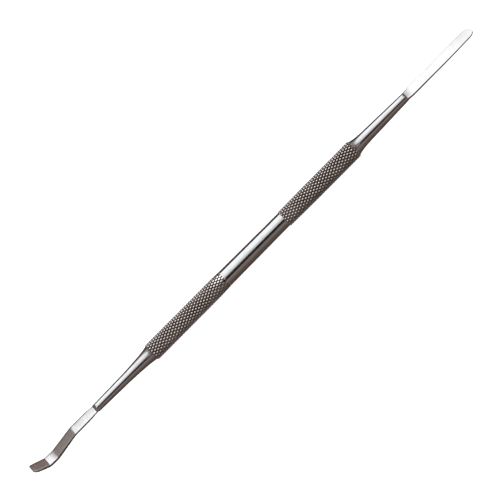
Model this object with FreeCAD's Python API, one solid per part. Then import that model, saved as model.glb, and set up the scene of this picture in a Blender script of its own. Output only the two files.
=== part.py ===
import FreeCAD, Part
import math
import os

from FreeCAD import Vector

# Double-ended stainless steel cuticle pusher, in millimetres.
# The tool lies along X. The straight spatula blade points to +X, the bent cleaner blade to -X,
# and both blades show their ground face to +Z. The origin is on the handle's axis, halfway
# between the two tips.

# Handle: one turned bar with two knurled grips and a plain waist between them.
GRIP_DIAMETER = 5.0            # over the crests of the knurl
HANDLE_LENGTH = 72.0           # from one end face to the other
CLEANER_GRIP_LENGTH = 25.9
PUSHER_GRIP_LENGTH = 24.9
GRIP_END_CHAMFER = 0.3
CLEANER_GRIP_FADE = 6.0        # stretch over which the cleaner grip runs down to the waist
PUSHER_GRIP_STEP = 0.22        # radial step up from the waist, with a rounded corner
PUSHER_GRIP_LEAD = 9.0         # stretch over which the pusher grip grows to its full size
WAIST_DROP_CLEANER = 0.19      # of the waist's surface below the grips', at its cleaner end
WAIST_DROP_PUSHER = 0.33       # and at its pusher end

# Sockets in the handle's ends and the tangs that are brazed into them.
SOCKET_DIAMETER = 2.4
SOCKET_DEPTH = 9.0
SOCKET_POINT_ANGLE = 118.0     # the drill's point
SOCKET_MOUTH_CHAMFER = 0.35    # room for the braze
TANG_CLEARANCE = 0.02          # radial gap that the braze creeps into
TANG_END_GAP = 0.6             # between the tang's end and the full-width socket's end
TANG_TIP_CHAMFER = 0.3

# Pusher neck: a short flare, then a long straight taper.
PUSHER_NECK_LENGTH = 17.8
PUSHER_FLARE_LENGTH = 4.6
PUSHER_FLARE_KNEE = 1.6        # where the flare turns, and its diameter there
PUSHER_FLARE_KNEE_DIAMETER = 3.42
PUSHER_FLARE_END_DIAMETER = 3.26
PUSHER_NECK_END_DIAMETER = 2.5

# Pusher blade: a thin straight spatula with a round tip that lifts a little. Its blunt front is
# off the middle, so the tip is rounded short on the -Y side and long on the +Y side.
PUSHER_BLADE_LENGTH = 23.8     # from the neck's end to the tip
PUSHER_BLADE_ROOT_WIDTH = 3.24
PUSHER_BLADE_WIDTH = 3.54      # at its widest, where the tip's curve starts
PUSHER_TIP_SHORT_ROUND = 1.7   # lengths of the tip's two roundings
PUSHER_TIP_LONG_ROUND = 3.4
PUSHER_TIP_LOW = -0.7          # y of the two ends of the tip's blunt front
PUSHER_TIP_HIGH = -0.05
PUSHER_FACE_HEIGHT = 0.38      # of the ground face above the handle's axis
PUSHER_BLADE_THICKNESS = 0.58
PUSHER_TIP_THICKNESS = 0.34
PUSHER_SPREAD_LENGTH = 2.0     # over which the neck is hammered out to the blade's width
PUSHER_RUNOUT_LENGTH = 2.4     # of the hollow from the neck down to the ground face
PUSHER_TIP_LIFT = 0.28
PUSHER_LIFT_LENGTH = 12.0

# Cleaner neck: a long flare, then a slim taper.
CLEANER_NECK_LENGTH = 19.2
CLEANER_FLARE_LENGTH = 9.1
CLEANER_FLARE_KNEE = 1.4
CLEANER_FLARE_KNEE_DIAMETER = 3.44
CLEANER_FLARE_END_DIAMETER = 2.79
CLEANER_NECK_END_DIAMETER = 2.36

# Cleaner blade: bent down at a soft crease, bent level again and swept up a little, then bent up at
# a sharp crease. Its tip is squarish, with one corner rounder than the other.
CLEANER_BLADE_ROOT_WIDTH = 3.1
CLEANER_BLADE_TIP_WIDTH = 3.36
CLEANER_FACE_HEIGHT = 0.32
CLEANER_BLADE_THICKNESS = 0.48
CLEANER_BEND_THICKNESS = 0.66  # from the bend to the sharp crease, where the blade is stoutest
CLEANER_TIP_THICKNESS = 0.36
CLEANER_FACE_RAMP = 0.9        # length of the steep ramp from the neck to the face
CLEANER_SPREAD_LENGTH = 3.2
CLEANER_RUNOUT_LENGTH = 2.4    # of the hollow on the back
CLEANER_STRAIGHT_LENGTH = 7.45 # from the ramp's foot to the soft crease
CLEANER_DROP_LENGTH = 6.6      # from the soft crease to the bend
CLEANER_TIP_LENGTH = 4.4       # from the sharp crease to the end
CLEANER_DROP_ANGLE = 11.0      # headings below and above level, in degrees
CLEANER_LEVEL_ANGLE = 2.0      # still downwards, where the bend meets the sweep
CLEANER_SWEEP_ANGLE = 4.5      # upwards, where the sweep meets the sharp crease
CLEANER_LIFT_ANGLE = 27.0
CLEANER_SOFT_RADIUS = 2.5      # radii along the middle of the blade's thickness
CLEANER_BEND_RADIUS = 4.0
CLEANER_SWEEP_RADIUS = 21.8
CLEANER_SHARP_RADIUS = 1.0
CLEANER_ROUND_CORNER = 1.3     # taken off the tip's width on the -Y side, over this length
CLEANER_ROUND_CORNER_LENGTH = 1.45
CLEANER_TIGHT_CORNER = 0.75    # and on the +Y side
CLEANER_TIGHT_CORNER_LENGTH = 0.65

# The hollow where a grinding wheel leaves the round neck: a steep step, then almost flat.
RUNOUT_STEP = 0.5              # length of the step
RUNOUT_STEP_RISE = 0.10        # how far the step's foot stands off the ground face
RUNOUT_FLOOR = 1.4             # where the hollow's floor turns, and how high it is there
RUNOUT_FLOOR_RISE = 0.03

GRIP_RADIUS = GRIP_DIAMETER / 2
SOCKET_RADIUS = SOCKET_DIAMETER / 2
TANG_RADIUS = SOCKET_RADIUS - TANG_CLEARANCE
SHOULDER_RADIUS = GRIP_RADIUS - GRIP_END_CHAMFER
X_AXIS = Vector(1, 0, 0)
Z_AXIS = Vector(0, 0, 1)
ORIGIN = Vector(0, 0, 0)


def side(x, z):
    """A point of an outline seen from the side. z is also the radius of a turned profile."""
    return Vector(x, 0, z)


def plan(x, y):
    """A point of an outline seen from above."""
    return Vector(x, y, 0)


def line(start, end):
    return Part.LineSegment(start, end).toShape()


def arc(start, middle, end):
    return Part.Arc(start, middle, end).toShape()


def bezier(*poles):
    curve = Part.BezierCurve()
    curve.setPoles(list(poles))
    return curve.toShape()


def path(*points):
    """Straight edges from each point to the next."""
    return [line(a, b) for a, b in zip(points, points[1:])]


def in_order(edges):
    """The edges of one closed outline, sorted end to end."""
    return Part.__sortEdges__(edges)


def face_of(edges):
    return Part.Face(Part.Wire(edges))


def turned(edges):
    """The solid that a lathe makes from a closed half profile."""
    return face_of(edges).revolve(ORIGIN, X_AXIS, 360)


def prism_across(edges, half_width):
    """A side outline, as wide as the blade's stock."""
    return face_of(edges).translated(Vector(0, -half_width, 0)).extrude(Vector(0, 2 * half_width, 0))


def prism_upright(edges, half_height):
    """A plan outline, as tall as the blade's stock."""
    return face_of(edges).translated(Vector(0, 0, -half_height)).extrude(Vector(0, 0, 2 * half_height))


def socket(mouth_x, inward):
    """The drilled and countersunk hole for a tang. inward is +1 or -1 along X."""
    point = SOCKET_RADIUS / math.tan(math.radians(SOCKET_POINT_ANGLE / 2))
    stations = [
        (0, 0),
        (0, SOCKET_RADIUS + SOCKET_MOUTH_CHAMFER),
        (SOCKET_MOUTH_CHAMFER, SOCKET_RADIUS),
        (SOCKET_DEPTH, SOCKET_RADIUS),
        (SOCKET_DEPTH + point, 0),
        (0, 0),
    ]
    return turned(path(*[side(mouth_x + inward * depth, radius) for depth, radius in stations]))


def handle(start_x, end_x):
    """The bar, from the cleaner's end face to the pusher's."""
    waist_start = start_x + CLEANER_GRIP_LENGTH
    waist_end = end_x - PUSHER_GRIP_LENGTH
    waist_start_radius = GRIP_RADIUS - WAIST_DROP_CLEANER
    waist_end_radius = GRIP_RADIUS - WAIST_DROP_PUSHER
    step_radius = waist_end_radius + PUSHER_GRIP_STEP
    fade_start = waist_start - CLEANER_GRIP_FADE
    edges = path(
        side(start_x, 0),
        side(start_x, SHOULDER_RADIUS),
        side(start_x + GRIP_END_CHAMFER, GRIP_RADIUS),
        side(fade_start, GRIP_RADIUS),
    )
    edges.append(bezier(
        side(fade_start, GRIP_RADIUS),
        side(fade_start + CLEANER_GRIP_FADE / 2, GRIP_RADIUS),
        side(waist_start, waist_start_radius),
    ))
    edges.append(line(side(waist_start, waist_start_radius), side(waist_end, waist_end_radius)))
    round_turn = PUSHER_GRIP_STEP * math.sqrt(0.5)
    edges.append(arc(
        side(waist_end, waist_end_radius),
        side(waist_end + PUSHER_GRIP_STEP - round_turn, waist_end_radius + round_turn),
        side(waist_end + PUSHER_GRIP_STEP, step_radius),
    ))
    edges += path(
        side(waist_end + PUSHER_GRIP_STEP, step_radius),
        side(waist_end + PUSHER_GRIP_LEAD, GRIP_RADIUS),
        side(end_x - GRIP_END_CHAMFER, GRIP_RADIUS),
        side(end_x, SHOULDER_RADIUS),
        side(end_x, 0),
        side(start_x, 0),
    )
    bar = turned(edges)
    return bar.cut(socket(start_x, 1)).cut(socket(end_x, -1))


def neck(flare_length, knee, knee_diameter, flare_end_diameter, length, end_diameter):
    """A working end's turned stretch: its tang, shoulder, flare and taper.

    The shoulder is at x = 0 and the neck runs to +X.
    """
    tang_end = SOCKET_DEPTH - TANG_END_GAP
    flare_end = side(flare_length, flare_end_diameter / 2)
    edges = path(
        side(-tang_end, 0),
        side(-tang_end, TANG_RADIUS - TANG_TIP_CHAMFER),
        side(-tang_end + TANG_TIP_CHAMFER, TANG_RADIUS),
        side(0, TANG_RADIUS),
        side(0, SHOULDER_RADIUS),
    )
    edges.append(bezier(side(0, SHOULDER_RADIUS), side(knee, knee_diameter / 2), flare_end))
    edges += path(
        flare_end,
        side(length, end_diameter / 2),
        side(length, 0),
        side(-tang_end, 0),
    )
    return turned(edges)


def runout(start_x, length, neck_z, face_z):
    """The side outline of the hollow from the neck's surface to a ground face."""
    outward = math.copysign(1, neck_z - face_z)
    foot = side(start_x + RUNOUT_STEP, face_z + outward * RUNOUT_STEP_RISE)
    floor = side(start_x + RUNOUT_FLOOR, face_z + outward * RUNOUT_FLOOR_RISE)
    return [line(side(start_x, neck_z), foot), bezier(foot, floor, side(start_x + length, face_z))]


def spread_stock(start_x, length, radius, half_width, face_z, back_z):
    """The round neck hammered out sideways, before the blade's faces are ground.

    The oval at its end is wide enough to keep the blade's full width at both ground faces.
    """
    deepest = max(abs(face_z), abs(back_z))
    oval_half_width = half_width / math.sqrt(1 - (deepest / radius) ** 2)
    round_end = Part.Circle(Vector(start_x, 0, 0), X_AXIS, radius).toShape()
    round_end.rotate(Vector(start_x, 0, 0), X_AXIS, -90)
    centre = Vector(start_x + length, 0, 0)
    oval = Part.Ellipse(centre + Vector(0, oval_half_width, 0), centre + Vector(0, 0, radius), centre)
    return Part.makeLoft([Part.Wire(round_end), Part.Wire(oval.toShape())], True, True)


def quarter_round(start, corner, end):
    """A quarter of an ellipse that leaves start and reaches end along the corner's two sides."""
    pull = 4 / 3 * (math.sqrt(2) - 1)
    return bezier(start, start + (corner - start) * pull, end + (corner - end) * pull, end)


def blade_plan(root_x, root_half_width, half_width, tip, end_ys, round_lengths):
    """A blade's outline from above: nearly straight sides and a rounded end.

    end_ys are the lowest and highest y of the end's straight part, and round_lengths the lengths
    of the roundings beside them.
    """
    edges = [line(plan(root_x, -root_half_width), plan(root_x, root_half_width))]
    for way, end_y, length in zip((-1, 1), end_ys, round_lengths):
        round_start = plan(tip - length, way * half_width)
        edges.append(line(plan(root_x, way * root_half_width), round_start))
        edges.append(quarter_round(round_start, plan(tip, way * half_width), plan(tip, end_y)))
    edges.append(line(plan(tip, end_ys[0]), plan(tip, end_ys[1])))
    return in_order(edges)


def ground_blade(stock, stock_end, side_edges, plan_edges):
    """A blade cut from hammered stock by its side outline and its outline from above."""
    outline = prism_upright(plan_edges, GRIP_DIAMETER)
    box = outline.BoundBox
    strip = Part.makeBox(box.XMax - stock_end, box.YLength, GRIP_DIAMETER)
    strip.translate(Vector(stock_end, box.YMin, -GRIP_RADIUS))
    blank = stock.fuse(strip)
    return blank.common(outline).common(prism_across(in_order(side_edges), GRIP_DIAMETER))


def pusher_end():
    """The straight spatula end, with its shoulder at x = 0."""
    start_x = PUSHER_NECK_LENGTH
    neck_radius = PUSHER_NECK_END_DIAMETER / 2
    flat_start = start_x + PUSHER_RUNOUT_LENGTH
    tip = start_x + PUSHER_BLADE_LENGTH
    lift_start = tip - PUSHER_LIFT_LENGTH
    lift_middle = tip - PUSHER_LIFT_LENGTH / 2
    thinning = (PUSHER_BLADE_THICKNESS - PUSHER_TIP_THICKNESS) / (tip - flat_start)

    def face(x, lift=0.0):
        return side(x, PUSHER_FACE_HEIGHT + lift)

    def back(x, lift=0.0):
        return side(x, PUSHER_FACE_HEIGHT - PUSHER_BLADE_THICKNESS + thinning * (x - flat_start) + lift)

    side_edges = [
        line(side(start_x, -neck_radius), side(start_x, neck_radius)),
        *runout(start_x, PUSHER_RUNOUT_LENGTH, neck_radius, PUSHER_FACE_HEIGHT),
        line(face(flat_start), face(lift_start)),
        arc(face(lift_start), face(lift_middle, PUSHER_TIP_LIFT / 4), face(tip, PUSHER_TIP_LIFT)),
        line(face(tip, PUSHER_TIP_LIFT), back(tip, PUSHER_TIP_LIFT)),
        arc(back(tip, PUSHER_TIP_LIFT), back(lift_middle, PUSHER_TIP_LIFT / 4), back(lift_start)),
        line(back(lift_start), back(flat_start)),
        *runout(start_x, PUSHER_RUNOUT_LENGTH, -neck_radius, back(flat_start).z),
    ]
    plan_edges = blade_plan(
        start_x, PUSHER_BLADE_ROOT_WIDTH / 2, PUSHER_BLADE_WIDTH / 2, tip,
        (PUSHER_TIP_LOW, PUSHER_TIP_HIGH), (PUSHER_TIP_SHORT_ROUND, PUSHER_TIP_LONG_ROUND),
    )
    stock = spread_stock(
        start_x, PUSHER_SPREAD_LENGTH, neck_radius, PUSHER_BLADE_ROOT_WIDTH / 2,
        PUSHER_FACE_HEIGHT, back(flat_start).z,
    )
    turned_neck = neck(
        PUSHER_FLARE_LENGTH, PUSHER_FLARE_KNEE, PUSHER_FLARE_KNEE_DIAMETER,
        PUSHER_FLARE_END_DIAMETER, PUSHER_NECK_LENGTH, PUSHER_NECK_END_DIAMETER,
    )
    blade = ground_blade(stock, start_x + PUSHER_SPREAD_LENGTH, side_edges, plan_edges)
    return turned_neck.fuse(blade).removeSplitter()


class BentLine:
    """Walks along one side of a bent strip, at an offset from the strip's middle."""

    def __init__(self, x, z, offset):
        self.x = x
        self.z = z
        self.offset = offset
        self.heading = 0.0
        self.edges = []

    def point(self, offset=None):
        """Where the side is now, square to the heading."""
        out = self.offset if offset is None else offset
        return side(self.x - out * math.sin(self.heading), self.z + out * math.cos(self.heading))

    def move(self, length):
        self.x += length * math.cos(self.heading)
        self.z += length * math.sin(self.heading)

    def straight(self, length, end_offset=None):
        start = self.point()
        self.move(length)
        self.edges.append(line(start, self.point(end_offset)))

    def turn(self, radius, angle):
        """Follows an arc of the middle's radius. A positive angle turns up."""
        points = [self.point()]
        half = math.radians(angle) / 2
        for _ in range(2):
            self.heading += half / 2
            self.move(2 * radius * math.sin(abs(half) / 2))
            self.heading += half / 2
            points.append(self.point())
        self.edges.append(arc(*points))


def cleaner_blade_side(first_x, crease_x, offset, bend_offset, end_offset):
    """The face or the back of the bent blade, from first_x to its end.

    The offsets are from the strip's middle: up to the soft crease, round the bend and at the tip.
    """
    middle_z = CLEANER_FACE_HEIGHT - CLEANER_BLADE_THICKNESS / 2
    track = BentLine(first_x, middle_z, offset)
    track.straight(crease_x - first_x)
    track.turn(CLEANER_SOFT_RADIUS, -CLEANER_DROP_ANGLE)
    track.straight(CLEANER_DROP_LENGTH, bend_offset)
    track.offset = bend_offset
    track.turn(CLEANER_BEND_RADIUS, CLEANER_DROP_ANGLE - CLEANER_LEVEL_ANGLE)
    track.turn(CLEANER_SWEEP_RADIUS, CLEANER_LEVEL_ANGLE + CLEANER_SWEEP_ANGLE)
    track.turn(CLEANER_SHARP_RADIUS, CLEANER_LIFT_ANGLE - CLEANER_SWEEP_ANGLE)
    track.straight(CLEANER_TIP_LENGTH, end_offset)
    return track.edges, track.point(end_offset)


def cleaner_end():
    """The bent end, with its shoulder at x = 0, and how far it reaches."""
    start_x = CLEANER_NECK_LENGTH
    neck_radius = CLEANER_NECK_END_DIAMETER / 2
    face_start = start_x + CLEANER_FACE_RAMP
    back_start = start_x + CLEANER_RUNOUT_LENGTH
    crease_x = face_start + CLEANER_STRAIGHT_LENGTH
    half_thickness = CLEANER_BLADE_THICKNESS / 2
    bend_depth = CLEANER_BEND_THICKNESS - half_thickness
    half_tip = CLEANER_TIP_THICKNESS / 2
    back_z = CLEANER_FACE_HEIGHT - CLEANER_BLADE_THICKNESS
    face_edges, face_tip = cleaner_blade_side(face_start, crease_x, half_thickness, half_thickness, half_tip)
    back_edges, back_tip = cleaner_blade_side(back_start, crease_x, -half_thickness, -bend_depth, -half_tip)
    tip = max(face_tip.x, back_tip.x)
    side_edges = face_edges + back_edges + [
        line(side(start_x, neck_radius), side(face_start, CLEANER_FACE_HEIGHT)),
        *runout(start_x, CLEANER_RUNOUT_LENGTH, -neck_radius, back_z),
        line(side(start_x, -neck_radius), side(start_x, neck_radius)),
        line(face_tip, back_tip),
    ]
    half_width = CLEANER_BLADE_TIP_WIDTH / 2
    plan_edges = blade_plan(
        start_x, CLEANER_BLADE_ROOT_WIDTH / 2, half_width, tip,
        (CLEANER_TIGHT_CORNER - half_width, half_width - CLEANER_ROUND_CORNER),
        (CLEANER_TIGHT_CORNER_LENGTH, CLEANER_ROUND_CORNER_LENGTH),
    )
    stock = spread_stock(
        start_x, CLEANER_SPREAD_LENGTH, neck_radius, CLEANER_BLADE_ROOT_WIDTH / 2,
        CLEANER_FACE_HEIGHT, back_z,
    )
    turned_neck = neck(
        CLEANER_FLARE_LENGTH, CLEANER_FLARE_KNEE, CLEANER_FLARE_KNEE_DIAMETER,
        CLEANER_FLARE_END_DIAMETER, CLEANER_NECK_LENGTH, CLEANER_NECK_END_DIAMETER,
    )
    blade = ground_blade(stock, start_x + CLEANER_SPREAD_LENGTH, side_edges, plan_edges)
    return turned_neck.fuse(blade).removeSplitter(), tip


def braze_ring():
    """The filler that fills the socket's countersunk mouth, at x = 0 and running to -X."""
    return turned(path(
        side(0, TANG_RADIUS),
        side(0, SOCKET_RADIUS + SOCKET_MOUTH_CHAMFER),
        side(-SOCKET_MOUTH_CHAMFER, SOCKET_RADIUS),
        side(-SOCKET_MOUTH_CHAMFER, TANG_RADIUS),
        side(0, TANG_RADIUS),
    ))


def turned_round(shape):
    """The same shape pointing to -X, with its face still to +Z."""
    shape.rotate(ORIGIN, Z_AXIS, 180)
    return shape


def main():
    pusher = pusher_end()
    cleaner, cleaner_reach = cleaner_end()
    pusher_reach = PUSHER_NECK_LENGTH + PUSHER_BLADE_LENGTH
    overall_length = cleaner_reach + HANDLE_LENGTH + pusher_reach
    handle_end = overall_length / 2 - pusher_reach
    handle_start = handle_end - HANDLE_LENGTH
    at_pusher = Vector(handle_end, 0, 0)
    at_cleaner = Vector(handle_start, 0, 0)
    nodes = {
        "handle": handle(handle_start, handle_end),
        "pusher_end": pusher.translated(at_pusher),
        "cleaner_end": turned_round(cleaner).translated(at_cleaner),
        "pusher_braze_ring": braze_ring().translated(at_pusher),
        "cleaner_braze_ring": turned_round(braze_ring()).translated(at_cleaner),
    }
    os.makedirs("parts", exist_ok=True)
    for name, shape in nodes.items():
        shape.exportStep(f"parts/{name}.step")
        print(name, len(shape.Solids), "solid", round(shape.Volume, 1), "mm3")
    print("overall length", round(overall_length, 2))


main()
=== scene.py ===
import math

import bmesh
import bpy
from mathutils import Matrix, Vector


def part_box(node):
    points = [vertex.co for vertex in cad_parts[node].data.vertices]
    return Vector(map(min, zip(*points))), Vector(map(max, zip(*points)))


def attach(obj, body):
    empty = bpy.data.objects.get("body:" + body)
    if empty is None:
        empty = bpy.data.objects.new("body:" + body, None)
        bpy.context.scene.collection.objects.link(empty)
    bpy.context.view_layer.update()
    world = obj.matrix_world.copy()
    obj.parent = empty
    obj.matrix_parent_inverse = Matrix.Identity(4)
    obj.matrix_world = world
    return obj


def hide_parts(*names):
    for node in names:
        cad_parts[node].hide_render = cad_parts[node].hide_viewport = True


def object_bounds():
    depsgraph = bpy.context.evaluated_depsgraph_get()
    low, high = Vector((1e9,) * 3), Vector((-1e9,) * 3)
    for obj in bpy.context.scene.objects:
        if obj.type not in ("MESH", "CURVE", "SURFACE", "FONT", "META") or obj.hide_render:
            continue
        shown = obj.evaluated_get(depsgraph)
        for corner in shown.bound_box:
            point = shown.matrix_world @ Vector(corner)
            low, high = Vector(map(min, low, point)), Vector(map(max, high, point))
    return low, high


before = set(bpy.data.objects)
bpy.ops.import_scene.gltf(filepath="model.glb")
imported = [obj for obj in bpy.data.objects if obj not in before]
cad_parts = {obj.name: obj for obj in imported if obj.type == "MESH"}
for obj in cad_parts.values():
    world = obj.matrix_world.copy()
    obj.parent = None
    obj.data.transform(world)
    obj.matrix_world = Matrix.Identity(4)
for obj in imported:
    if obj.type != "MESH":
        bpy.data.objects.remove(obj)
cad_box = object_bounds()

bl_info = {
    "name": "Cuticle Pusher",
    "version": (1, 0, 0),
    "blender": (4, 5, 0),
    "location": "3D View > Sidebar > Cuticle Pusher",
    "description": "Builds a knurled, double-ended steel cuticle pusher and a table to show it on",
    "category": "Add Mesh",
}

# The tool lies along X with its ground faces to +Z. Lengths in the mesh code are millimetres and
# become metres only where a mesh is made.
MM = 0.001

HANDLE_LOW, HANDLE_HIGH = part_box("handle")
HANDLE_START = HANDLE_LOW[0] / MM
HANDLE_END = HANDLE_HIGH[0] / MM
GRIP_RADIUS = HANDLE_HIGH[2] / MM
PUSHER_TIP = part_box("pusher_end")[1][0] / MM

# The turned bar.
CHAMFER = 0.3
SHOULDER_RADIUS = GRIP_RADIUS - CHAMFER
WAIST_START_RADIUS = GRIP_RADIUS - 0.19
WAIST_END_RADIUS = GRIP_RADIUS - 0.33
WAIST_LEAD_IN = 6.0            # how far before the waist the cleaner's grip starts to slim
WAIST_STEP = 0.22              # radius of the rounded step up from the waist
WAIST_LEAD_OUT = 9.0           # how far past the waist the pusher's grip is full again

# The sockets in the bar's ends, and the tangs that sit in them.
SOCKET_RADIUS = 1.2
SOCKET_DEPTH = 9.0
SOCKET_MOUTH = 0.35
DRILL_POINT_ANGLE = math.radians(59.0)
TANG_RADIUS = 1.18
TANG_LENGTH = 8.4
TANG_CHAMFER = 0.3

# The knurl.
KNURL_POWER = 0.62             # below 1, its crests are broad and its grooves narrow
KNURL_CELLS = 10               # mesh squares along one diamond, and round it
KNURL_FADE = 0.3               # length over which the knurl runs out into the waist
CREST_CUT = 0.03               # how much of a diamond's peak the bar's surface cuts off

# The hollow where a neck runs out into its blade.
RUNOUT_LENGTH = 2.4
RUNOUT_STEP_LENGTH = 0.5
RUNOUT_STEP_RISE = 0.10
RUNOUT_FLOOR_START = 1.4
RUNOUT_FLOOR_RISE = 0.03


# ---------------------------------------------------------------- settings

class CuticleHandleSettings(bpy.types.PropertyGroup):
    """Sizes of the knurled bar."""

    cleaner_grip: bpy.props.FloatProperty(
        name="Cleaner Grip", description="Length of the knurled grip at the cleaner's end",
        default=25.9 * MM, min=0.0, unit="LENGTH", precision=4)
    pusher_grip: bpy.props.FloatProperty(
        name="Pusher Grip", description="Length of the knurled grip at the pusher's end",
        default=24.9 * MM, min=0.0, unit="LENGTH", precision=4)
    knurl_pitch: bpy.props.FloatProperty(
        name="Knurl Pitch", description="Distance along the bar from one diamond to the next",
        default=1.44 * MM, min=0.0005, unit="LENGTH", precision=5)
    knurl_starts: bpy.props.IntProperty(
        name="Knurl Starts", description="Number of diamonds round the bar",
        default=18, min=6, max=40)
    knurl_depth: bpy.props.FloatProperty(
        name="Knurl Depth",
        description="Height of a whole diamond, before the bar's surface cuts off its peak",
        default=0.34 * MM, min=0.05 * MM, unit="LENGTH", precision=5)


class CuticleFinishSettings(bpy.types.PropertyGroup):
    """Colours and roughness of the metal."""

    steel: bpy.props.FloatVectorProperty(
        name="Steel", description="Colour of clean stainless steel",
        default=(0.645, 0.65, 0.66), min=0.0, max=1.0, size=3, subtype="COLOR")
    # Painted shade: the knurl's grooves are painted this dark colour.
    groove: bpy.props.FloatVectorProperty(
        name="Groove", description="Colour of the steel at the bottom of the knurl",
        default=(0.10, 0.07, 0.062), min=0.0, max=1.0, size=3, subtype="COLOR")
    # Painted highlight: the knurl's crests are painted this colour, brighter than the clean steel.
    crest: bpy.props.FloatVectorProperty(
        name="Crest", description="Colour of the steel on the knurl's crests",
        default=(0.93, 0.895, 0.88), min=0.0, max=1.0, size=3, subtype="COLOR")
    braze: bpy.props.FloatVectorProperty(
        name="Braze", description="Colour of the filler in the socket mouths",
        default=(0.78, 0.62, 0.36), min=0.0, max=1.0, size=3, subtype="COLOR")
    turned_roughness: bpy.props.FloatProperty(
        name="Turned Roughness", description="Roughness of the lathe-turned and polished parts",
        default=0.17, min=0.0, max=1.0, subtype="FACTOR")
    ground_roughness: bpy.props.FloatProperty(
        name="Ground Roughness", description="Roughness of the blades' ground faces",
        default=0.22, min=0.0, max=1.0, subtype="FACTOR")


class CuticleStageSettings(bpy.types.PropertyGroup):
    """The table, the lights and the camera."""

    view_elevation: bpy.props.FloatProperty(
        name="Elevation", description="Height of the camera above the table's plane",
        default=math.radians(45.0), subtype="ANGLE")
    view_roll: bpy.props.FloatProperty(
        name="Roll", description="How steeply the tool rises to the right in the picture",
        default=math.radians(45.2), subtype="ANGLE")
    field: bpy.props.FloatProperty(
        name="Field", description="Width of the picture, measured at the tool",
        default=0.125, min=0.01, unit="LENGTH")
    camera_distance: bpy.props.FloatProperty(
        name="Camera Distance", description="Distance from the camera to the tool",
        default=0.8, min=0.1, unit="LENGTH")
    softbox: bpy.props.FloatProperty(
        name="Softbox", description="Brightness of the overhead strip light",
        default=1.5, min=0.0)
    surround: bpy.props.FloatProperty(
        name="Surround", description="Brightness of the dim room that the steel mirrors",
        default=1.0, min=0.0)
    table: bpy.props.FloatVectorProperty(
        name="Table", description="Colour of the table",
        default=(0.9, 0.9, 0.9), min=0.0, max=1.0, size=3, subtype="COLOR")


# ---------------------------------------------------------------- meshes

def spaced(start, end, step):
    """Evenly spaced stations from start to end, both included."""
    count = max(1, math.ceil(abs(end - start) / step))
    return [start + (end - start) * i / count for i in range(count + 1)]


def merged(stations, closest=0.03):
    """Stations in order, without those that nearly repeat the one before."""
    kept = []
    for x in sorted(stations):
        if not kept or x - kept[-1] > closest:
            kept.append(x)
    return kept


def bezier(t, *poles):
    """The point at t on a quadratic curve of (x, y) poles."""
    (ax, ay), (bx, by), (cx, cy) = poles
    u = 1 - t
    return u * u * ax + 2 * u * t * bx + t * t * cx, u * u * ay + 2 * u * t * by + t * t * cy


def bezier_height(x, *poles):
    """The height of a quadratic curve at x. Its poles run to +X."""
    low, high = 0.0, 1.0
    for _ in range(40):
        middle = (low + high) / 2
        if bezier(middle, *poles)[0] < x:
            low = middle
        else:
            high = middle
    return bezier((low + high) / 2, *poles)[1]


def new_piece(name, mesh_data, materials, node):
    """An object that rides on the tool's only body and stands for one CAD node."""
    piece = bpy.data.objects.new(name, mesh_data)
    bpy.context.scene.collection.objects.link(piece)
    for material in materials:
        mesh_data.materials.append(material)
    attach(piece, "root")
    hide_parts(node)
    return piece


def skin(name, rings, choose_material=None, falls_back=None, sharp=35.0):
    """A closed mesh through rings of points, with a point at each end.

    falls_back(i, j) is true where the square from ring i and point j is split along its
    other diagonal.
    """
    mesh = bmesh.new()
    rows = [[mesh.verts.new(point * MM) for point in ring] for ring in rings]
    count = len(rows[0])
    for i, (row, after) in enumerate(zip(rows, rows[1:])):
        for j in range(count):
            k = (j + 1) % count
            if falls_back is None:
                faces = [mesh.faces.new((row[j], row[k], after[k], after[j]))]
            elif falls_back(i, j):
                faces = [mesh.faces.new((row[j], row[k], after[j])),
                         mesh.faces.new((row[k], after[k], after[j]))]
            else:
                faces = [mesh.faces.new((row[j], row[k], after[k])),
                         mesh.faces.new((row[j], after[k], after[j]))]
            if choose_material is not None:
                for face in faces:
                    face.material_index = choose_material(i, j)
    for row, ring in ((rows[0], rings[0]), (rows[-1], rings[-1])):
        middle = mesh.verts.new(sum(ring, Vector()) / count * MM)
        for j in range(count):
            face = mesh.faces.new((row[j], row[(j + 1) % count], middle))
            if choose_material is not None:
                face.material_index = choose_material(0 if row is rows[0] else len(rings) - 2, j)
    bmesh.ops.recalc_face_normals(mesh, faces=mesh.faces)
    for face in mesh.faces:
        face.smooth = True
    data = bpy.data.meshes.new(name)
    mesh.to_mesh(data)
    mesh.free()
    data.set_sharp_from_angle(angle=math.radians(sharp))
    return data


# ---------------------------------------------------------------- handle

def circle(x, radii):
    """Points round the tool's axis at x, from the top, one for each radius."""
    points = []
    for j, radius in enumerate(radii):
        angle = 2 * math.pi * j / len(radii)
        points.append(Vector((x, radius * math.sin(angle), radius * math.cos(angle))))
    return points


def grip_ends(settings):
    """Where the cleaner's grip ends and the pusher's starts."""
    return HANDLE_START + settings.cleaner_grip / MM, HANDLE_END - settings.pusher_grip / MM


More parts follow.
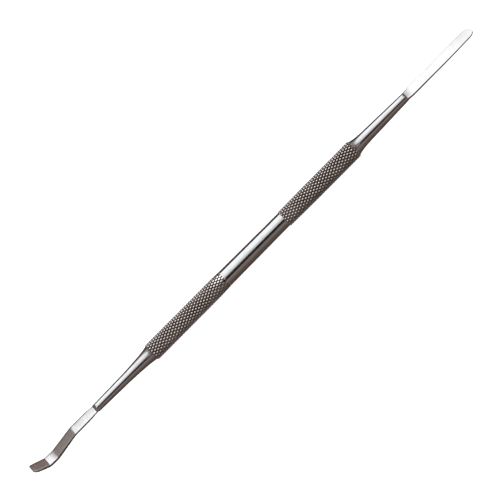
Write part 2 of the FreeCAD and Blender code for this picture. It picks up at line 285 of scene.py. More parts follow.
def bar_radius(x, waist_start, waist_end):
    """The bar's radius over the crests of its knurl."""
    if x <= HANDLE_START + CHAMFER:
        return SHOULDER_RADIUS + (x - HANDLE_START)
    if x <= waist_start - WAIST_LEAD_IN:
        return GRIP_RADIUS
    if x <= waist_start:
        return bezier_height(
            x, (waist_start - WAIST_LEAD_IN, GRIP_RADIUS),
            (waist_start - WAIST_LEAD_IN / 2, GRIP_RADIUS), (waist_start, WAIST_START_RADIUS))
    if x <= waist_end:
        share = (x - waist_start) / (waist_end - waist_start)
        return WAIST_START_RADIUS + (WAIST_END_RADIUS - WAIST_START_RADIUS) * share
    if x <= waist_end + WAIST_STEP:
        short = waist_end + WAIST_STEP - x
        return WAIST_END_RADIUS + math.sqrt(max(0.0, WAIST_STEP ** 2 - short ** 2))
    if x <= waist_end + WAIST_LEAD_OUT:
        share = (x - waist_end - WAIST_STEP) / (WAIST_LEAD_OUT - WAIST_STEP)
        step_top = WAIST_END_RADIUS + WAIST_STEP
        return step_top + (GRIP_RADIUS - step_top) * share
    if x <= HANDLE_END - CHAMFER:
        return GRIP_RADIUS
    return SHOULDER_RADIUS + (HANDLE_END - x)


def knurl_bump(along, around):
    """Height of a knurl's diamonds, from 0 in the grooves to 1 at the crests."""
    across_one = math.sin(math.pi * ((along + around) % 1.0))
    across_other = math.sin(math.pi * ((along - around) % 1.0))
    return (across_one * across_other) ** KNURL_POWER


def handle_mesh(settings):
    """The bar with its sockets, and how deep in a groove each of its points is."""
    waist_start, waist_end = grip_ends(settings)
    pitch = settings.knurl_pitch / MM
    depth = settings.knurl_depth / MM
    starts = settings.knurl_starts
    count = starts * KNURL_CELLS
    clear = 0.02                   # the knurl's stations keep this far from a corner of the bar

    def on_knurl(start, end):
        """Stations between start and end that lie on the knurl's own grid."""
        first = math.ceil(start / pitch * KNURL_CELLS)
        last = math.floor(end / pitch * KNURL_CELLS)
        return [i * pitch / KNURL_CELLS for i in range(first, last + 1)]

    outside = merged(
        [HANDLE_START, HANDLE_START + CHAMFER, waist_start, HANDLE_END - CHAMFER, HANDLE_END]
        + [waist_end + into for into in (0.0, 0.03, 0.09, WAIST_STEP)]
        + on_knurl(HANDLE_START + clear, waist_start + KNURL_FADE + 0.05)
        + spaced(waist_start + 0.5, waist_end - clear, 0.7)
        + on_knurl(waist_end + 0.12, HANDLE_END - clear))

    def outside_ring(x):
        """One ring's points, and how deep in a groove each of them is."""
        bar = bar_radius(x, waist_start, waist_end)
        crest = bar if x > waist_end else GRIP_RADIUS
        share = 1.0
        if waist_start < x < waist_end:
            share = max(0.0, 1.0 - (x - waist_start) / KNURL_FADE)
        radii, grooves = [], []
        for j in range(count):
            below = depth * (1 - knurl_bump(x / pitch, j / count * starts)) - CREST_CUT
            cut = min(bar, max(crest - below, WAIST_END_RADIUS))
            radii.append(bar + (cut - bar) * share)
            grooves.append(min(1.0, max(0.0, below / depth)) * share)
        return circle(x, radii), grooves

    def socket_rings(mouth, inward):
        """Rings from a socket's drilled point out to the rim of its countersink."""
        point = SOCKET_RADIUS / math.tan(DRILL_POINT_ANGLE)
        profile = (
            (SOCKET_DEPTH + point * 0.98, SOCKET_RADIUS * 0.02), (SOCKET_DEPTH, SOCKET_RADIUS),
            (SOCKET_DEPTH / 2, SOCKET_RADIUS), (SOCKET_MOUTH, SOCKET_RADIUS),
            (0.0, SOCKET_RADIUS + SOCKET_MOUTH))
        return [(circle(mouth + inward * into, [radius] * count), [0.0] * count)
                for into, radius in profile]

    before = socket_rings(HANDLE_START, 1)
    after = socket_rings(HANDLE_END, -1)[::-1]
    rows = before + [outside_ring(x) for x in outside] + after
    stations = [points[0].x for points, _ in rows]

    def follows_groove(i, j):
        along = (stations[i] + stations[i + 1]) / 2 / pitch
        around = (j + 0.5) / KNURL_CELLS
        one = abs((along + around + 0.5) % 1.0 - 0.5)
        other = abs((along - around + 0.5) % 1.0 - 0.5)
        return one < other

    def material_at(i, _):
        middle = (stations[i] + stations[i + 1]) / 2
        outer = len(before) <= i < len(rows) - len(after) - 1
        return 0 if outer and not waist_start + KNURL_FADE < middle < waist_end else 1

    data = skin("handle_bar", [points for points, _ in rows], material_at, follows_groove, 50.0)
    at_end_points = [0.0, 0.0]
    depths = [value for _, grooves in rows for value in grooves] + at_end_points
    data.attributes.new("groove", "FLOAT", "POINT").data.foreach_set("value", depths)
    return data


# ---------------------------------------------------------------- working ends

RING_POINTS = 96
FACE_SHARE = 0.75              # of a section's points that lie on its face and back
EDGE_SHARPNESS = 26.0          # higher gives a crisper edge between a face and a side
FAR_LIMIT = 8.0                # a limit this many times as far as the nearest softens nothing
OUT_OF_REACH = 1e6


def round_directions():
    """Evenly spread directions round a section, from the face's middle."""
    return [2 * math.pi * j / RING_POINTS for j in range(RING_POINTS)]


def flat_directions(half_width, half_height):
    """Directions that spread a section's points along a flat strip, closer at its corners."""
    quarter = RING_POINTS // 4
    on_face = int(quarter * FACE_SHARE)
    angles = []
    for j in range(quarter + 1):
        if j <= on_face:
            across = half_width * math.sin(math.pi / 2 * j / on_face)
            angles.append(math.atan2(across, half_height))
        else:
            up = half_height * (1 - (j - on_face) / (quarter - on_face))
            angles.append(math.atan2(half_width, up))
    half = angles + [math.pi - a for a in angles[-2::-1]]
    return half + [2 * math.pi - a for a in half[-2:0:-1]]


def on_side(j):
    """Whether the face after point j of a section is on one of the strip's narrow sides."""
    quarter = RING_POINTS // 4
    on_face = int(quarter * FACE_SHARE)
    from_side = abs((j + 0.5) % (2 * quarter) - quarter)
    return from_side < quarter - on_face


def section(directions, limits):
    """A section's (across, up) points: the nearest limit in each direction, with soft corners."""
    points = []
    for angle in directions:
        across, up = math.sin(angle), math.cos(angle)
        reach = [limit(across, up) for limit in limits]
        nearest = min(reach)
        total = sum((nearest / r) ** EDGE_SHARPNESS for r in reach if r < FAR_LIMIT * nearest)
        radius = nearest * total ** (-1 / EDGE_SHARPNESS)
        points.append((across * radius, up * radius))
    return points


def oval_limit(half_width, half_height, aside, drop):
    """The stock's oval. Its middle is aside and drop away from the section's."""
    def reach(across, up):
        a = (across / half_width) ** 2 + (up / half_height) ** 2
        b = 2 * (across * aside / half_width ** 2 + up * drop / half_height ** 2)
        c = (aside / half_width) ** 2 + (drop / half_height) ** 2 - 1
        return (-b + math.sqrt(b * b - 4 * a * c)) / (2 * a)
    return reach


def width_limit(half_width):
    """The strip's two upright sides."""
    def reach(across, up):
        return half_width / max(abs(across), 1 / OUT_OF_REACH)
    return reach


def face_limit(height, half_width, crown):
    """The face above the middle, or the back below it, which falls away by crown at its edges."""
    def reach(across, up):
        toward = up if height > 0 else -up
        if toward < 1 / OUT_OF_REACH:
            return OUT_OF_REACH
        flat = abs(height) / toward
        aside = min(1.0, abs(flat * across) / half_width)
        return flat * (1 - crown * aside ** 4 / abs(height))
    return reach


def strip_ring(place, width, heights, crown, roundness, stock=None):
    """One ring of a ground strip.

    place is the (x, z, heading) of its middle line, width the strip's lowest and highest y and
    heights those of its back and face from the middle line. roundness is 1 where the points are
    spread as on the round neck and 0 where they are spread as on a flat blade. stock is the half
    width and half height of the oval that the strip is ground from, where it still shows.
    """
    x, z, heading = place
    low, high = width
    middle_y, half_width = (low + high) / 2, (high - low) / 2
    back, face = heights
    limits = [face_limit(face, half_width, crown), face_limit(back, half_width, crown),
              width_limit(half_width)]
    if stock is not None:
        limits.append(oval_limit(stock[0], stock[1], middle_y, z))
    flat = flat_directions(half_width, max(0.05, (face - back) / 2))
    directions = [a + (b - a) * roundness for a, b in zip(flat, round_directions())]
    return [Vector((x - up * math.sin(heading), middle_y + across, z + up * math.cos(heading)))
            for across, up in section(directions, limits)]


def neck_rings(flare_corner, flare_end, length, end_radius):
    """Rings of the tang, shoulder, flare and taper, with the shoulder at x = 0.

    The flare is a curve from the shoulder's rim to flare_end, and flare_corner its middle pole.
    """
    profile = [(-TANG_LENGTH, TANG_RADIUS - TANG_CHAMFER),
               (-TANG_LENGTH + TANG_CHAMFER, TANG_RADIUS), (-TANG_LENGTH / 2, TANG_RADIUS),
               (0.0, TANG_RADIUS), (0.0, SHOULDER_RADIUS - 0.03), (0.02, SHOULDER_RADIUS - 0.01)]
    profile += [bezier(t, (0.0, SHOULDER_RADIUS), flare_corner, flare_end)
                for t in spaced(0.03, 1.0, 0.05)]
    flare_length, flare_radius = flare_end
    for x in spaced(flare_length, length, 0.8)[1:]:
        share = (x - flare_length) / (length - flare_length)
        profile.append((x, flare_radius + (end_radius - flare_radius) * share))
    return [circle(x, [radius] * RING_POINTS) for x, radius in profile]


def smooth_share(x):
    """x as a share that eases in from 0 and out to 1."""
    x = min(1.0, max(0.0, x))
    return x * x * (3 - 2 * x)


def round_off(distance, radius):
    """How much of its thickness a strip keeps at a distance from its rounded end."""
    if distance >= radius:
        return 1.0
    thinnest = 0.2
    return math.sqrt(max(thinnest ** 2, 1 - (1 - max(0.0, distance) / radius) ** 2))


def runout_height(into, start, end):
    """Height of the hollow's floor: a steep step, then nearly flat down to the ground face."""
    foot = end + RUNOUT_STEP_RISE
    if into < RUNOUT_STEP_LENGTH:
        return start + (foot - start) * into / RUNOUT_STEP_LENGTH
    return bezier_height(
        min(into, RUNOUT_LENGTH), (RUNOUT_STEP_LENGTH, foot),
        (RUNOUT_FLOOR_START, end + RUNOUT_FLOOR_RISE), (RUNOUT_LENGTH, end))


def side_of_plan(x, ends, half_widths, corner):
    """How far one side of a blade's outline is from its middle at x.

    ends are the x of the blade's root and tip and half_widths its half widths there. corner is
    how far from the middle the rounded corner meets the tip, and the corner's length.
    """
    (root, tip), (root_half, tip_half), (corner_y, corner_length) = ends, half_widths, corner
    corner_start = tip - corner_length
    if x < corner_start:
        return root_half + (tip_half - root_half) * (x - root) / (corner_start - root)
    share = math.sqrt(max(0.0, 1 - ((x - corner_start) / corner_length) ** 2))
    return corner_y + (tip_half - corner_y) * share


def stock_oval(into, length, end_radius, half_width, face_z):
    """Half width and half height of the stock, which is hammered wider over length.

    At its end the oval is half_width wide where the face cuts it. Past that it is ground away.
    """
    if into >= length:
        return None
    oval = half_width / math.sqrt(1 - (face_z / end_radius) ** 2)
    return end_radius + (oval - end_radius) * into / length, end_radius


def pusher_rings(reach):
    """Rings of the straight spatula end, from its tang to its tip at reach."""
    root, end_radius, face_z, back_z = 17.8, 1.25, 0.38, -0.20
    half_widths = (1.62, 1.77)     # at the root and at the tip
    low_corner, high_corner = (0.7, 1.7), (-0.05, 3.4)
    root_thickness, tip_thickness = 0.58, 0.34
    lift_length, tip_lift = 12.0, 0.28
    stock_length, crown, edge_radius = 2.0, 0.012, 0.08
    flat = root + RUNOUT_LENGTH
    thinning = (root_thickness - tip_thickness) / (reach - flat)
    rings = neck_rings((1.6, 1.71), (4.6, 1.63), root, end_radius)
    neck_count = len(rings) - 1

    def heights(x):
        """Heights of the back and the face at x."""
        if x < flat:
            into = x - root
            return (-runout_height(into, end_radius, -back_z),
                    runout_height(into, end_radius, face_z))
        lift = tip_lift * max(0.0, (x - (reach - lift_length)) / lift_length) ** 2
        return back_z + thinning * (x - flat) + lift, face_z + lift

    long_start, short_start = reach - high_corner[1], reach - low_corner[1]
    stations = merged(
        spaced(root + 0.02, root + 0.6, 0.05) + spaced(root + 0.6, flat, 0.12)
        + spaced(flat, long_start, 0.5) + spaced(long_start, short_start, 0.15))
    steps = 40
    stations += [short_start + low_corner[1] * math.sin(math.pi / 2 * i / steps)
                 for i in range(1, steps)] + [reach - 0.0006]
    for x in stations:
        back, face = heights(x)
        thick = (face - back) / 2 * round_off(reach - x, edge_radius)
        low, high = (side_of_plan(x, (root, reach), half_widths, corner)
                     for corner in (low_corner, high_corner))
        rings.append(strip_ring(
            (x, (face + back) / 2, 0.0), (-low, high), (-thick, thick), crown,
            1 - smooth_share((x - root) / RUNOUT_LENGTH),
            stock_oval(x - root, stock_length, end_radius, half_widths[0], face_z)))
    return rings, neck_count


DROP_LENGTH = 6.6              # from the cleaner's crease to its bend
CLEANER_TIP_LENGTH = 4.4       # from its bend to its tip
CREASE_STEPS = 8


def bent_track(start, height):
    """The cleaner blade's middle line as (walked, x, z, heading), from its soft crease on."""
    x, z, heading, walked = start, height, 0.0, 0.0
    track = [(walked, x, z, heading)]
    # Each run is a bend's radius or a straight piece's length, its turn in degrees and its steps.
    runs = ((2.5, -11.0, CREASE_STEPS), (DROP_LENGTH, 0.0, 12), (4.0, 9.0, 8), (21.8, 6.5, 10),
            (1.0, 22.5, 10), (CLEANER_TIP_LENGTH, 0.0, 8))
    for size, degrees, steps in runs:
        turn = math.radians(degrees) / steps
        step = size * abs(turn) if turn else size / steps
        for _ in range(steps):
            heading += turn / 2
            x += step * math.cos(heading)
            z += step * math.sin(heading)
            heading += turn / 2
            walked += step
            track.append((walked, x, z, heading))
    return track


def cleaner_rings():
    """Rings of the bent end, from its tang to its tip, pointing to +X."""
    root, end_radius, face_z, back_z = 19.2, 1.18, 0.32, -0.16
    ramp, face_length, stock_length = 0.9, 7.45, 3.2
    half_widths = (1.55, 1.68)
    tight_corner, round_corner = (half_widths[1] - 0.75, 0.65), (half_widths[1] - 1.3, 1.45)
    # How far the face and the back are from the middle line, at the crease and at the tip, and
    # how far the back is from it at the bend, where the blade is thickest.
    side, tip_side, bend_back = 0.24, 0.18, 0.42
    crown, edge_radius = 0.03, 0.06
    middle = (face_z + back_z) / 2
    crease = root + ramp + face_length
    track = bent_track(crease, middle)
    drop_start = track[CREASE_STEPS][0]
    whole, reach = track[-1][0], track[-1][1] + tip_side * math.sin(track[-1][3])
    rings = neck_rings((1.4, 1.72), (9.1, 1.395), root, end_radius)
    neck_count = len(rings) - 1

    def width(x):
        tight, rounder = (side_of_plan(x, (root, reach), half_widths, corner)
                          for corner in (tight_corner, round_corner))
        return -tight, rounder

    stations = merged(
        spaced(root + 0.02, root + ramp, 0.06) + spaced(root + ramp, root + stock_length, 0.1)
        + spaced(root + stock_length, crease - 0.3, 0.5))
    for x in stations:
        into = x - root
        face = end_radius + (face_z - end_radius) * min(1.0, into / ramp)
        back = -runout_height(into, end_radius, -back_z)
        rings.append(strip_ring(
            (x, middle, 0.0), width(x), (back - middle, face - middle), crown,
            1 - smooth_share(into / RUNOUT_LENGTH),
            stock_oval(into, stock_length, end_radius, half_widths[0], face_z)))

    def bent_ring(walked, x, z, heading):
        """A ring square to the bent middle line at (x, z)."""
        left = whole - walked
        into_drop = min(1.0, max(0.0, (walked - drop_start) / DROP_LENGTH))
        toward_tip = max(0.0, 1 - left / CLEANER_TIP_LENGTH)
        keep = round_off(left, edge_radius)
        face = (side + (tip_side - side) * toward_tip) * keep
        back = (side + (bend_back - side) * into_drop + (tip_side - bend_back) * toward_tip) * keep
        lower, half = (face - back) / 2, (face + back) / 2
        place = (x - lower * math.sin(heading), z + lower * math.cos(heading), heading)
        return strip_ring(place, width(x), (-half, half), crown, 0.0)

    rings += [bent_ring(*station) for station in track[:-1]]
    walked, x, z, heading = track[-2]
    last, steps = whole - walked, 16
    for i in range(1, steps + 1):
        part = last * math.sin(math.pi / 2 * i / steps)
        rings.append(bent_ring(
            walked + part, x + part * math.cos(heading), z + part * math.sin(heading), heading))
    return rings, neck_count


# ---------------------------------------------------------------- materials

class Recipe:
    """A material's or world's node tree, and short ways to add to it."""

    def __init__(self, name, shader="ShaderNodeBsdfPrincipled", place="Object"):
        is_world = shader == "ShaderNodeBackground"
        self.material = (bpy.data.worlds if is_world else bpy.data.materials).new(name)
        self.material.use_nodes = True
        tree = self.material.node_tree
        self.nodes = tree.nodes
        self.links = tree.links
        self.nodes.clear()
        self.shader = self.nodes.new(shader)
        output = self.nodes.new("ShaderNodeOutputWorld" if is_world else "ShaderNodeOutputMaterial")
        self.links.new(self.shader.outputs[0], output.inputs["Surface"])
        self.place = self.nodes.new("ShaderNodeTexCoord").outputs[place]
        split = self.nodes.new("ShaderNodeSeparateXYZ")
        self.links.new(self.place, split.inputs[0])
        self.x, self.y, self.z = split.outputs

    def plug(self, value, socket):
        """Join value to socket if it is a node's output, and otherwise set it there."""
        if isinstance(value, bpy.types.NodeSocket):
            self.links.new(value, socket)
        else:
            socket.default_value = value

    def math(self, operation, *values):
        node = self.nodes.new("ShaderNodeMath")
        node.operation = operation
        for value, socket in zip(values, node.inputs):
            self.plug(value, socket)
        return node.outputs[0]

    def ranged(self, value, from_low, from_high, to_low, to_high, curve="LINEAR"):
        """value moved from one range to another and kept inside it."""
        node = self.nodes.new("ShaderNodeMapRange")
        node.interpolation_type = curve
        for given, name in ((value, "Value"), (from_low, "From Min"), (from_high, "From Max"),
                            (to_low, "To Min"), (to_high, "To Max")):
            self.plug(given, node.inputs[name])
        return node.outputs[0]

    def mixed(self, share, first, second):
        """A colour that goes from first to second as share goes from 0 to 1."""
        node = self.nodes.new("ShaderNodeMix")
        node.data_type = "RGBA"
        for value, name in ((share, "Factor_Float"), (first, "A_Color"), (second, "B_Color")):
            socket = next(s for s in node.inputs if s.identifier == name)
            self.plug(value, socket)
        return next(s for s in node.outputs if s.identifier == "Result_Color")

    def ramp(self, value, stops):
        """The colour at value on a ramp of (position, colour) stops."""
        node = self.nodes.new("ShaderNodeValToRGB")
        elements = node.color_ramp.elements
        elements.remove(elements[1])
        elements[0].position, elements[0].color = stops[0][0], opaque(stops[0][1])
        for position, colour in stops[1:]:
            elements.new(position).color = opaque(colour)
        self.links.new(value, node.inputs[0])
        return node.outputs[0]

    def stretched_noise(self, across, along_y, along_z, detail=3.0):
        """Noise in the object's space, with its frequency per metre in each direction."""
        scale = self.nodes.new("ShaderNodeMapping")
        self.links.new(self.place, scale.inputs["Vector"])
        scale.inputs["Scale"].default_value = (across, along_y, along_z)
        noise = self.nodes.new("ShaderNodeTexNoise")
        noise.inputs["Scale"].default_value = 1.0
        noise.inputs["Detail"].default_value = detail
        self.links.new(scale.outputs[0], noise.inputs["Vector"])
        return noise.outputs["Fac"]

    def ring_noise(self, frequency, detail=2.0):
        """Noise that changes only along the tool, as a cutting tool leaves it."""
        noise = self.nodes.new("ShaderNodeTexNoise")
        noise.noise_dimensions = "1D"
        noise.inputs["Scale"].default_value = 1.0
        noise.inputs["Detail"].default_value = detail
        self.links.new(self.math("MULTIPLY", self.x, frequency), noise.inputs["W"])
        return noise.outputs["Fac"]

    def attribute(self, name):
        node = self.nodes.new("ShaderNodeAttribute")
        node.attribute_name = name
        return node.outputs["Fac"]

    def bump(self, height, strength, distance):
        """Fine relief, with distance in metres."""
        node = self.nodes.new("ShaderNodeBump")
        node.inputs["Strength"].default_value = strength
        node.inputs["Distance"].default_value = distance
        self.links.new(height, node.inputs["Height"])
        self.links.new(node.outputs[0], self.shader.inputs["Normal"])

    def metal(self, colour, roughness):
        """The finished material, once it has its colour and roughness."""
        self.plug(colour, self.shader.inputs["Base Color"])
        self.plug(roughness, self.shader.inputs["Roughness"])
        self.shader.inputs["Metallic"].default_value = 1.0
        return self.material


def opaque(colour, factor=1.0):
    """A colour times factor, with an alpha of 1."""
    return tuple(channel * factor for channel in colour) + (1.0,)


def turned_steel(name, finish):
    """Polished on the lathe, with faint rings left by the tool."""
    made = Recipe(name)
    rings = made.ring_noise(5200.0)
    stain = made.stretched_noise(420.0, 900.0, 900.0)
    clouds = made.math("MULTIPLY", rings, stain)
    colour = made.mixed(made.ranged(stain, 0.35, 0.75, 0.0, 1.0),
                        opaque(finish.steel), opaque(finish.steel, 0.9))
    low = finish.turned_roughness
    roughness = made.ranged(clouds, 0.1, 0.45, low * 0.8, low * 1.35)
    made.bump(rings, 0.05, 0.01 * MM)
    return made.metal(colour, roughness)


def knurled_steel(name, finish):
    """Crests painted brighter than the steel, a painted highlight, over grooves painted dark, a
    painted shade.
    """
    made = Recipe(name)
    groove = made.attribute("groove")
    grain = made.stretched_noise(6000.0, 6000.0, 6000.0)
    patches = made.stretched_noise(260.0, 420.0, 420.0)
    # The pusher's grip gets a little more painted shade in its grooves.
    pusher_grip_shade = made.ranged(made.x, 0.005, 0.015, 1.0, 1.15)
    patchy = made.ranged(patches, 0.3, 0.7, 0.75, 1.1)
    # The grooves' painted shade, deeper on the pusher's grip and varied in random patches.
    shade_and_patches = made.math("MULTIPLY", made.math("MULTIPLY", groove, pusher_grip_shade), patchy)
    # Painted highlight on the crests, painted shade in the grooves.
    colour = made.mixed(made.ranged(shade_and_patches, 0.1, 0.58, 0.0, 1.0, "SMOOTHSTEP"),
                        opaque(finish.crest), opaque(finish.groove))
    roughness = made.math("ADD", made.ranged(groove, 0.0, 1.0, 0.08, 0.38),
                          made.ranged(grain, 0.3, 0.7, -0.03, 0.05))
    made.bump(grain, 0.12, 0.01 * MM)
    return made.metal(colour, roughness)


def ground_steel(name, finish, brightness, dullness, painted_tip_span, painted_tip_colour):
    """Ground across the blade, so its fine scratches run from side to side.

    The last two arguments give where along X the tip's painted tone starts and where it is
    complete, and its colour from there on: painted shade on the pusher's tip, a brighter, warmer
    painted reflection on the cleaner's. brightness scales the face's colour as painted light.
    """
    made = Recipe(name)
    scratches = made.stretched_noise(9000.0, 500.0, 500.0, detail=4.0)
    haze = made.stretched_noise(500.0, 300.0, 300.0)
    # brightness makes one blade's face lighter than the other's, as painted light.
    clean = made.mixed(
        made.ranged(scratches, 0.3, 0.7, 0.0, 1.0),
        opaque(finish.steel, 1.03 * brightness), opaque(finish.steel, 0.95 * brightness))
    # Painted tone at the tip: painted shade on the pusher, painted reflection on the cleaner.
    painted_tip_share = made.ranged(made.x, painted_tip_span[0], painted_tip_span[1], 0.0, 1.0, "SMOOTHSTEP")
    low = finish.ground_roughness * dullness
    roughness = made.math("ADD", made.ranged(haze, 0.3, 0.7, low * 0.85, low * 1.15),
                          made.ranged(scratches, 0.3, 0.7, -0.02, 0.04))
    made.bump(scratches, 0.08, 0.01 * MM)
    return made.metal(made.mixed(painted_tip_share, clean, painted_tip_colour), roughness)


def braze_metal(name, finish):
    """A frozen fillet of filler, a little uneven."""
    made = Recipe(name)
    ripples = made.stretched_noise(2500.0, 2500.0, 2500.0)
    colour = made.mixed(ripples, opaque(finish.braze), opaque(finish.braze, 0.75))
    made.bump(ripples, 0.3, 0.02 * MM)
    return made.metal(colour, made.ranged(ripples, 0.3, 0.7, 0.25, 0.45))


def painted_shade_edge_steel(name, finish):
    """The blades' narrow sides, left as they were cut and so duller than the ground faces, and
    painted much darker as painted shade.
    """
    made = Recipe(name)
    grain = made.stretched_noise(3500.0, 3500.0, 1200.0)
    # Painted shade: the sides are painted at about a third of the steel's colour.
    colour = made.mixed(made.ranged(grain, 0.3, 0.7, 0.0, 1.0),
                        opaque(finish.steel, 0.36), opaque(finish.steel, 0.26))
    made.bump(grain, 0.1, 0.01 * MM)
    return made.metal(colour, made.ranged(grain, 0.3, 0.7, 0.22, 0.34))


# ---------------------------------------------------------------- operators

def blade_finish(neck_count):
    """Chooses neck, ground face or narrow side for the square after ring i and point j."""
    run_out_rings = 24             # past the neck, where the strip has no clear sides yet

    def choose(i, j):
        if i < neck_count:
            return 0
        return 2 if i > neck_count + run_out_rings and on_side(j) else 1
    return choose


class CUTICLE_OT_add_handle(bpy.types.Operator):
    """Build the turned bar with its two knurled grips"""

    bl_idname = "cuticle.add_handle"
    bl_label = "Add Handle"

    def execute(self, context):
        settings = context.scene.cuticle_handle
        finish = context.scene.cuticle_finish
        materials = [knurled_steel("knurled_steel", finish), turned_steel("turned_steel", finish)]
        new_piece("handle_bar", handle_mesh(settings), materials, "handle")
        return {"FINISHED"}


class CUTICLE_OT_add_pusher(bpy.types.Operator):
    """Build the straight spatula end with its tang"""

    bl_idname = "cuticle.add_pusher"
    bl_label = "Add Pusher End"

    def execute(self, context):
        finish = context.scene.cuticle_finish
        rings, neck_count = pusher_rings(PUSHER_TIP - HANDLE_END)
        placed = [[Vector((p.x + HANDLE_END, p.y, p.z)) for p in ring] for ring in rings]
        materials = [
            turned_steel("pusher_neck_steel", finish),
            # Painted light: the pusher's face is painted a little darker and its tip darker still,
            # as painted shade.
            ground_steel("pusher_ground_steel", finish, brightness=0.98, dullness=0.75,
                         painted_tip_span=(0.0685, 0.0745), painted_tip_colour=opaque(finish.steel, 0.84)),
            painted_shade_edge_steel("pusher_edge_steel", finish)]
        data = skin("pusher_blade", placed, blade_finish(neck_count))
        new_piece("pusher_blade", data, materials, "pusher_end")
        return {"FINISHED"}


class CUTICLE_OT_add_cleaner(bpy.types.Operator):
    """Build the bent cleaner end with its tang"""

    bl_idname = "cuticle.add_cleaner"
    bl_label = "Add Cleaner End"

    def execute(self, context):
        finish = context.scene.cuticle_finish
        rings, neck_count = cleaner_rings()
        placed = [[Vector((HANDLE_START - p.x, -p.y, p.z)) for p in ring] for ring in rings]
        materials = [
            turned_steel("cleaner_neck_steel", finish),
            # Painted light: the cleaner's face is painted brighter, and its tip brighter and
            # warmer, as painted reflection.
            ground_steel("cleaner_ground_steel", finish, brightness=1.05, dullness=1.0,
                         painted_tip_span=(-0.0735, -0.074), painted_tip_colour=opaque((0.92, 0.835, 0.82))),
            painted_shade_edge_steel("cleaner_edge_steel", finish)]
        data = skin("cleaner_blade", placed, blade_finish(neck_count))
        new_piece("cleaner_blade", data, materials, "cleaner_end")
        return {"FINISHED"}


class CUTICLE_OT_finish_braze(bpy.types.Operator):
    """Give the two braze rings their metal"""

    bl_idname = "cuticle.finish_braze"
    bl_label = "Finish Braze Rings"

    def execute(self, context):
        material = braze_metal("braze_filler", context.scene.cuticle_finish)
        for node in ("pusher_braze_ring", "cleaner_braze_ring"):
            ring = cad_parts[node]
            if not ring.data.materials:
                ring.data.materials.append(material)
            for index in range(len(ring.data.materials)):
                ring.data.materials[index] = material
        return {"FINISHED"}


class CUTICLE_OT_add_stage(bpy.types.Operator):
    """Lay the table and set up the lights, the room and the camera"""

    bl_idname = "cuticle.add_stage"
    bl_label = "Add Stage"

    def execute(self, context):
        settings = context.scene.cuticle_stage
        add_table(settings, cad_box[0][2])
        add_softbox(settings)
        add_front_panel()
        add_fill()
        add_room(context.scene, settings)
        add_camera(context.scene, settings)
        context.scene.view_settings.view_transform = "Standard"
        return {"FINISHED"}


# ---------------------------------------------------------------- stage

def add_table(settings, height):
    """A wide white table whose rim turns up into a wall all round."""
    flat_radius, rim_radius, wall_top = 2.5, 0.6, 1.6
    sides, rim_steps = 96, 12
    profile = [(radius, 0.0) for radius in (0.001, 0.3, 1.0, 2.0, flat_radius)]
    for i in range(1, rim_steps + 1):
        angle = math.pi / 2 * i / rim_steps
        profile.append((flat_radius + rim_radius * math.sin(angle),
                        rim_radius - rim_radius * math.cos(angle)))
    profile.append((flat_radius + rim_radius, wall_top))
    turns = [2 * math.pi * j / sides for j in range(sides)]
    mesh = bmesh.new()
    rows = [[mesh.verts.new((r * math.cos(turn), r * math.sin(turn), up + height))
             for turn in turns] for r, up in profile]
    mesh.faces.new(rows[0])
    for row, after in zip(rows, rows[1:]):
        for j in range(sides):
            k = (j + 1) % sides
            mesh.faces.new((row[j], row[k], after[k], after[j])).smooth = True
    data = bpy.data.meshes.new("table")
    mesh.to_mesh(data)
    mesh.free()
    table = bpy.data.objects.new("table", data)
    made = Recipe("table_white")
    weave = made.stretched_noise(900.0, 900.0, 900.0)
    made.plug(opaque(settings.table), made.shader.inputs["Base Color"])
    made.plug(made.ranged(weave, 0.0, 1.0, 0.6, 0.7), made.shader.inputs["Roughness"])
    made.plug(opaque((1.0, 1.0, 1.0)), made.shader.inputs["Emission Color"])
    made.plug(0.9, made.shader.inputs["Emission Strength"])
    data.materials.append(made.material)
    bpy.context.scene.collection.objects.link(table)
    table.visible_glossy = False
    table.visible_shadow = False


def light_panel(name, corners, colour, strength, made):
    """A stage object of one face that glows and that the camera doesn't see."""
    made.plug(colour, made.shader.inputs["Color"])
    made.plug(strength, made.shader.inputs["Strength"])
    data = bpy.data.meshes.new(name)
    data.from_pydata(corners, [], [range(len(corners))])
    data.materials.append(made.material)
    panel = bpy.data.objects.new(name, data)
    panel.visible_camera = False
    bpy.context.scene.collection.objects.link(panel)
    return panel


def add_softbox(settings):
    """A strip light above, long across the tool and narrow along it, dimmer at its front."""
    height, front, back = 0.7, -0.61, 0.85
    front_half, back_left, back_right = 0.46, 0.2, 0.26
    taper_start, taper_end = 0.0, 0.75
    corners = [(-front_half, taper_start, height), (-back_left, taper_end, height),
               (-back_left, back, height), (back_right, back, height),
               (back_right, taper_end, height), (front_half, taper_start, height),
               (front_half, front, height), (-front_half, front, height)]
    # How bright the light is at each share of its way from front to back.
    levels = [(0.0, 0.33), (0.18, 0.6), (0.3, 0.78), (0.41, 0.95), (0.5, 1.0), (0.72, 1.02),
              (0.85, 1.25), (1.0, 1.25)]
    made = Recipe("softbox_light", "ShaderNodeEmission")
    along = made.ranged(made.y, front, back, 0.0, 1.0)
    glow = made.ramp(along, [(share, (level, level, level)) for share, level in levels])
    left, right = (
        made.math("DIVIDE", made.x, made.ranged(made.y, taper_start, taper_end, wide, narrow))
        for wide, narrow in ((-front_half, -back_left), (front_half, back_right)))
    aside = made.math("MAXIMUM", left, right)
    fade = made.ranged(aside, 0.6, 1.0, settings.softbox, 0.0, "SMOOTHSTEP")
    light_panel("softbox", corners, glow, fade, made)


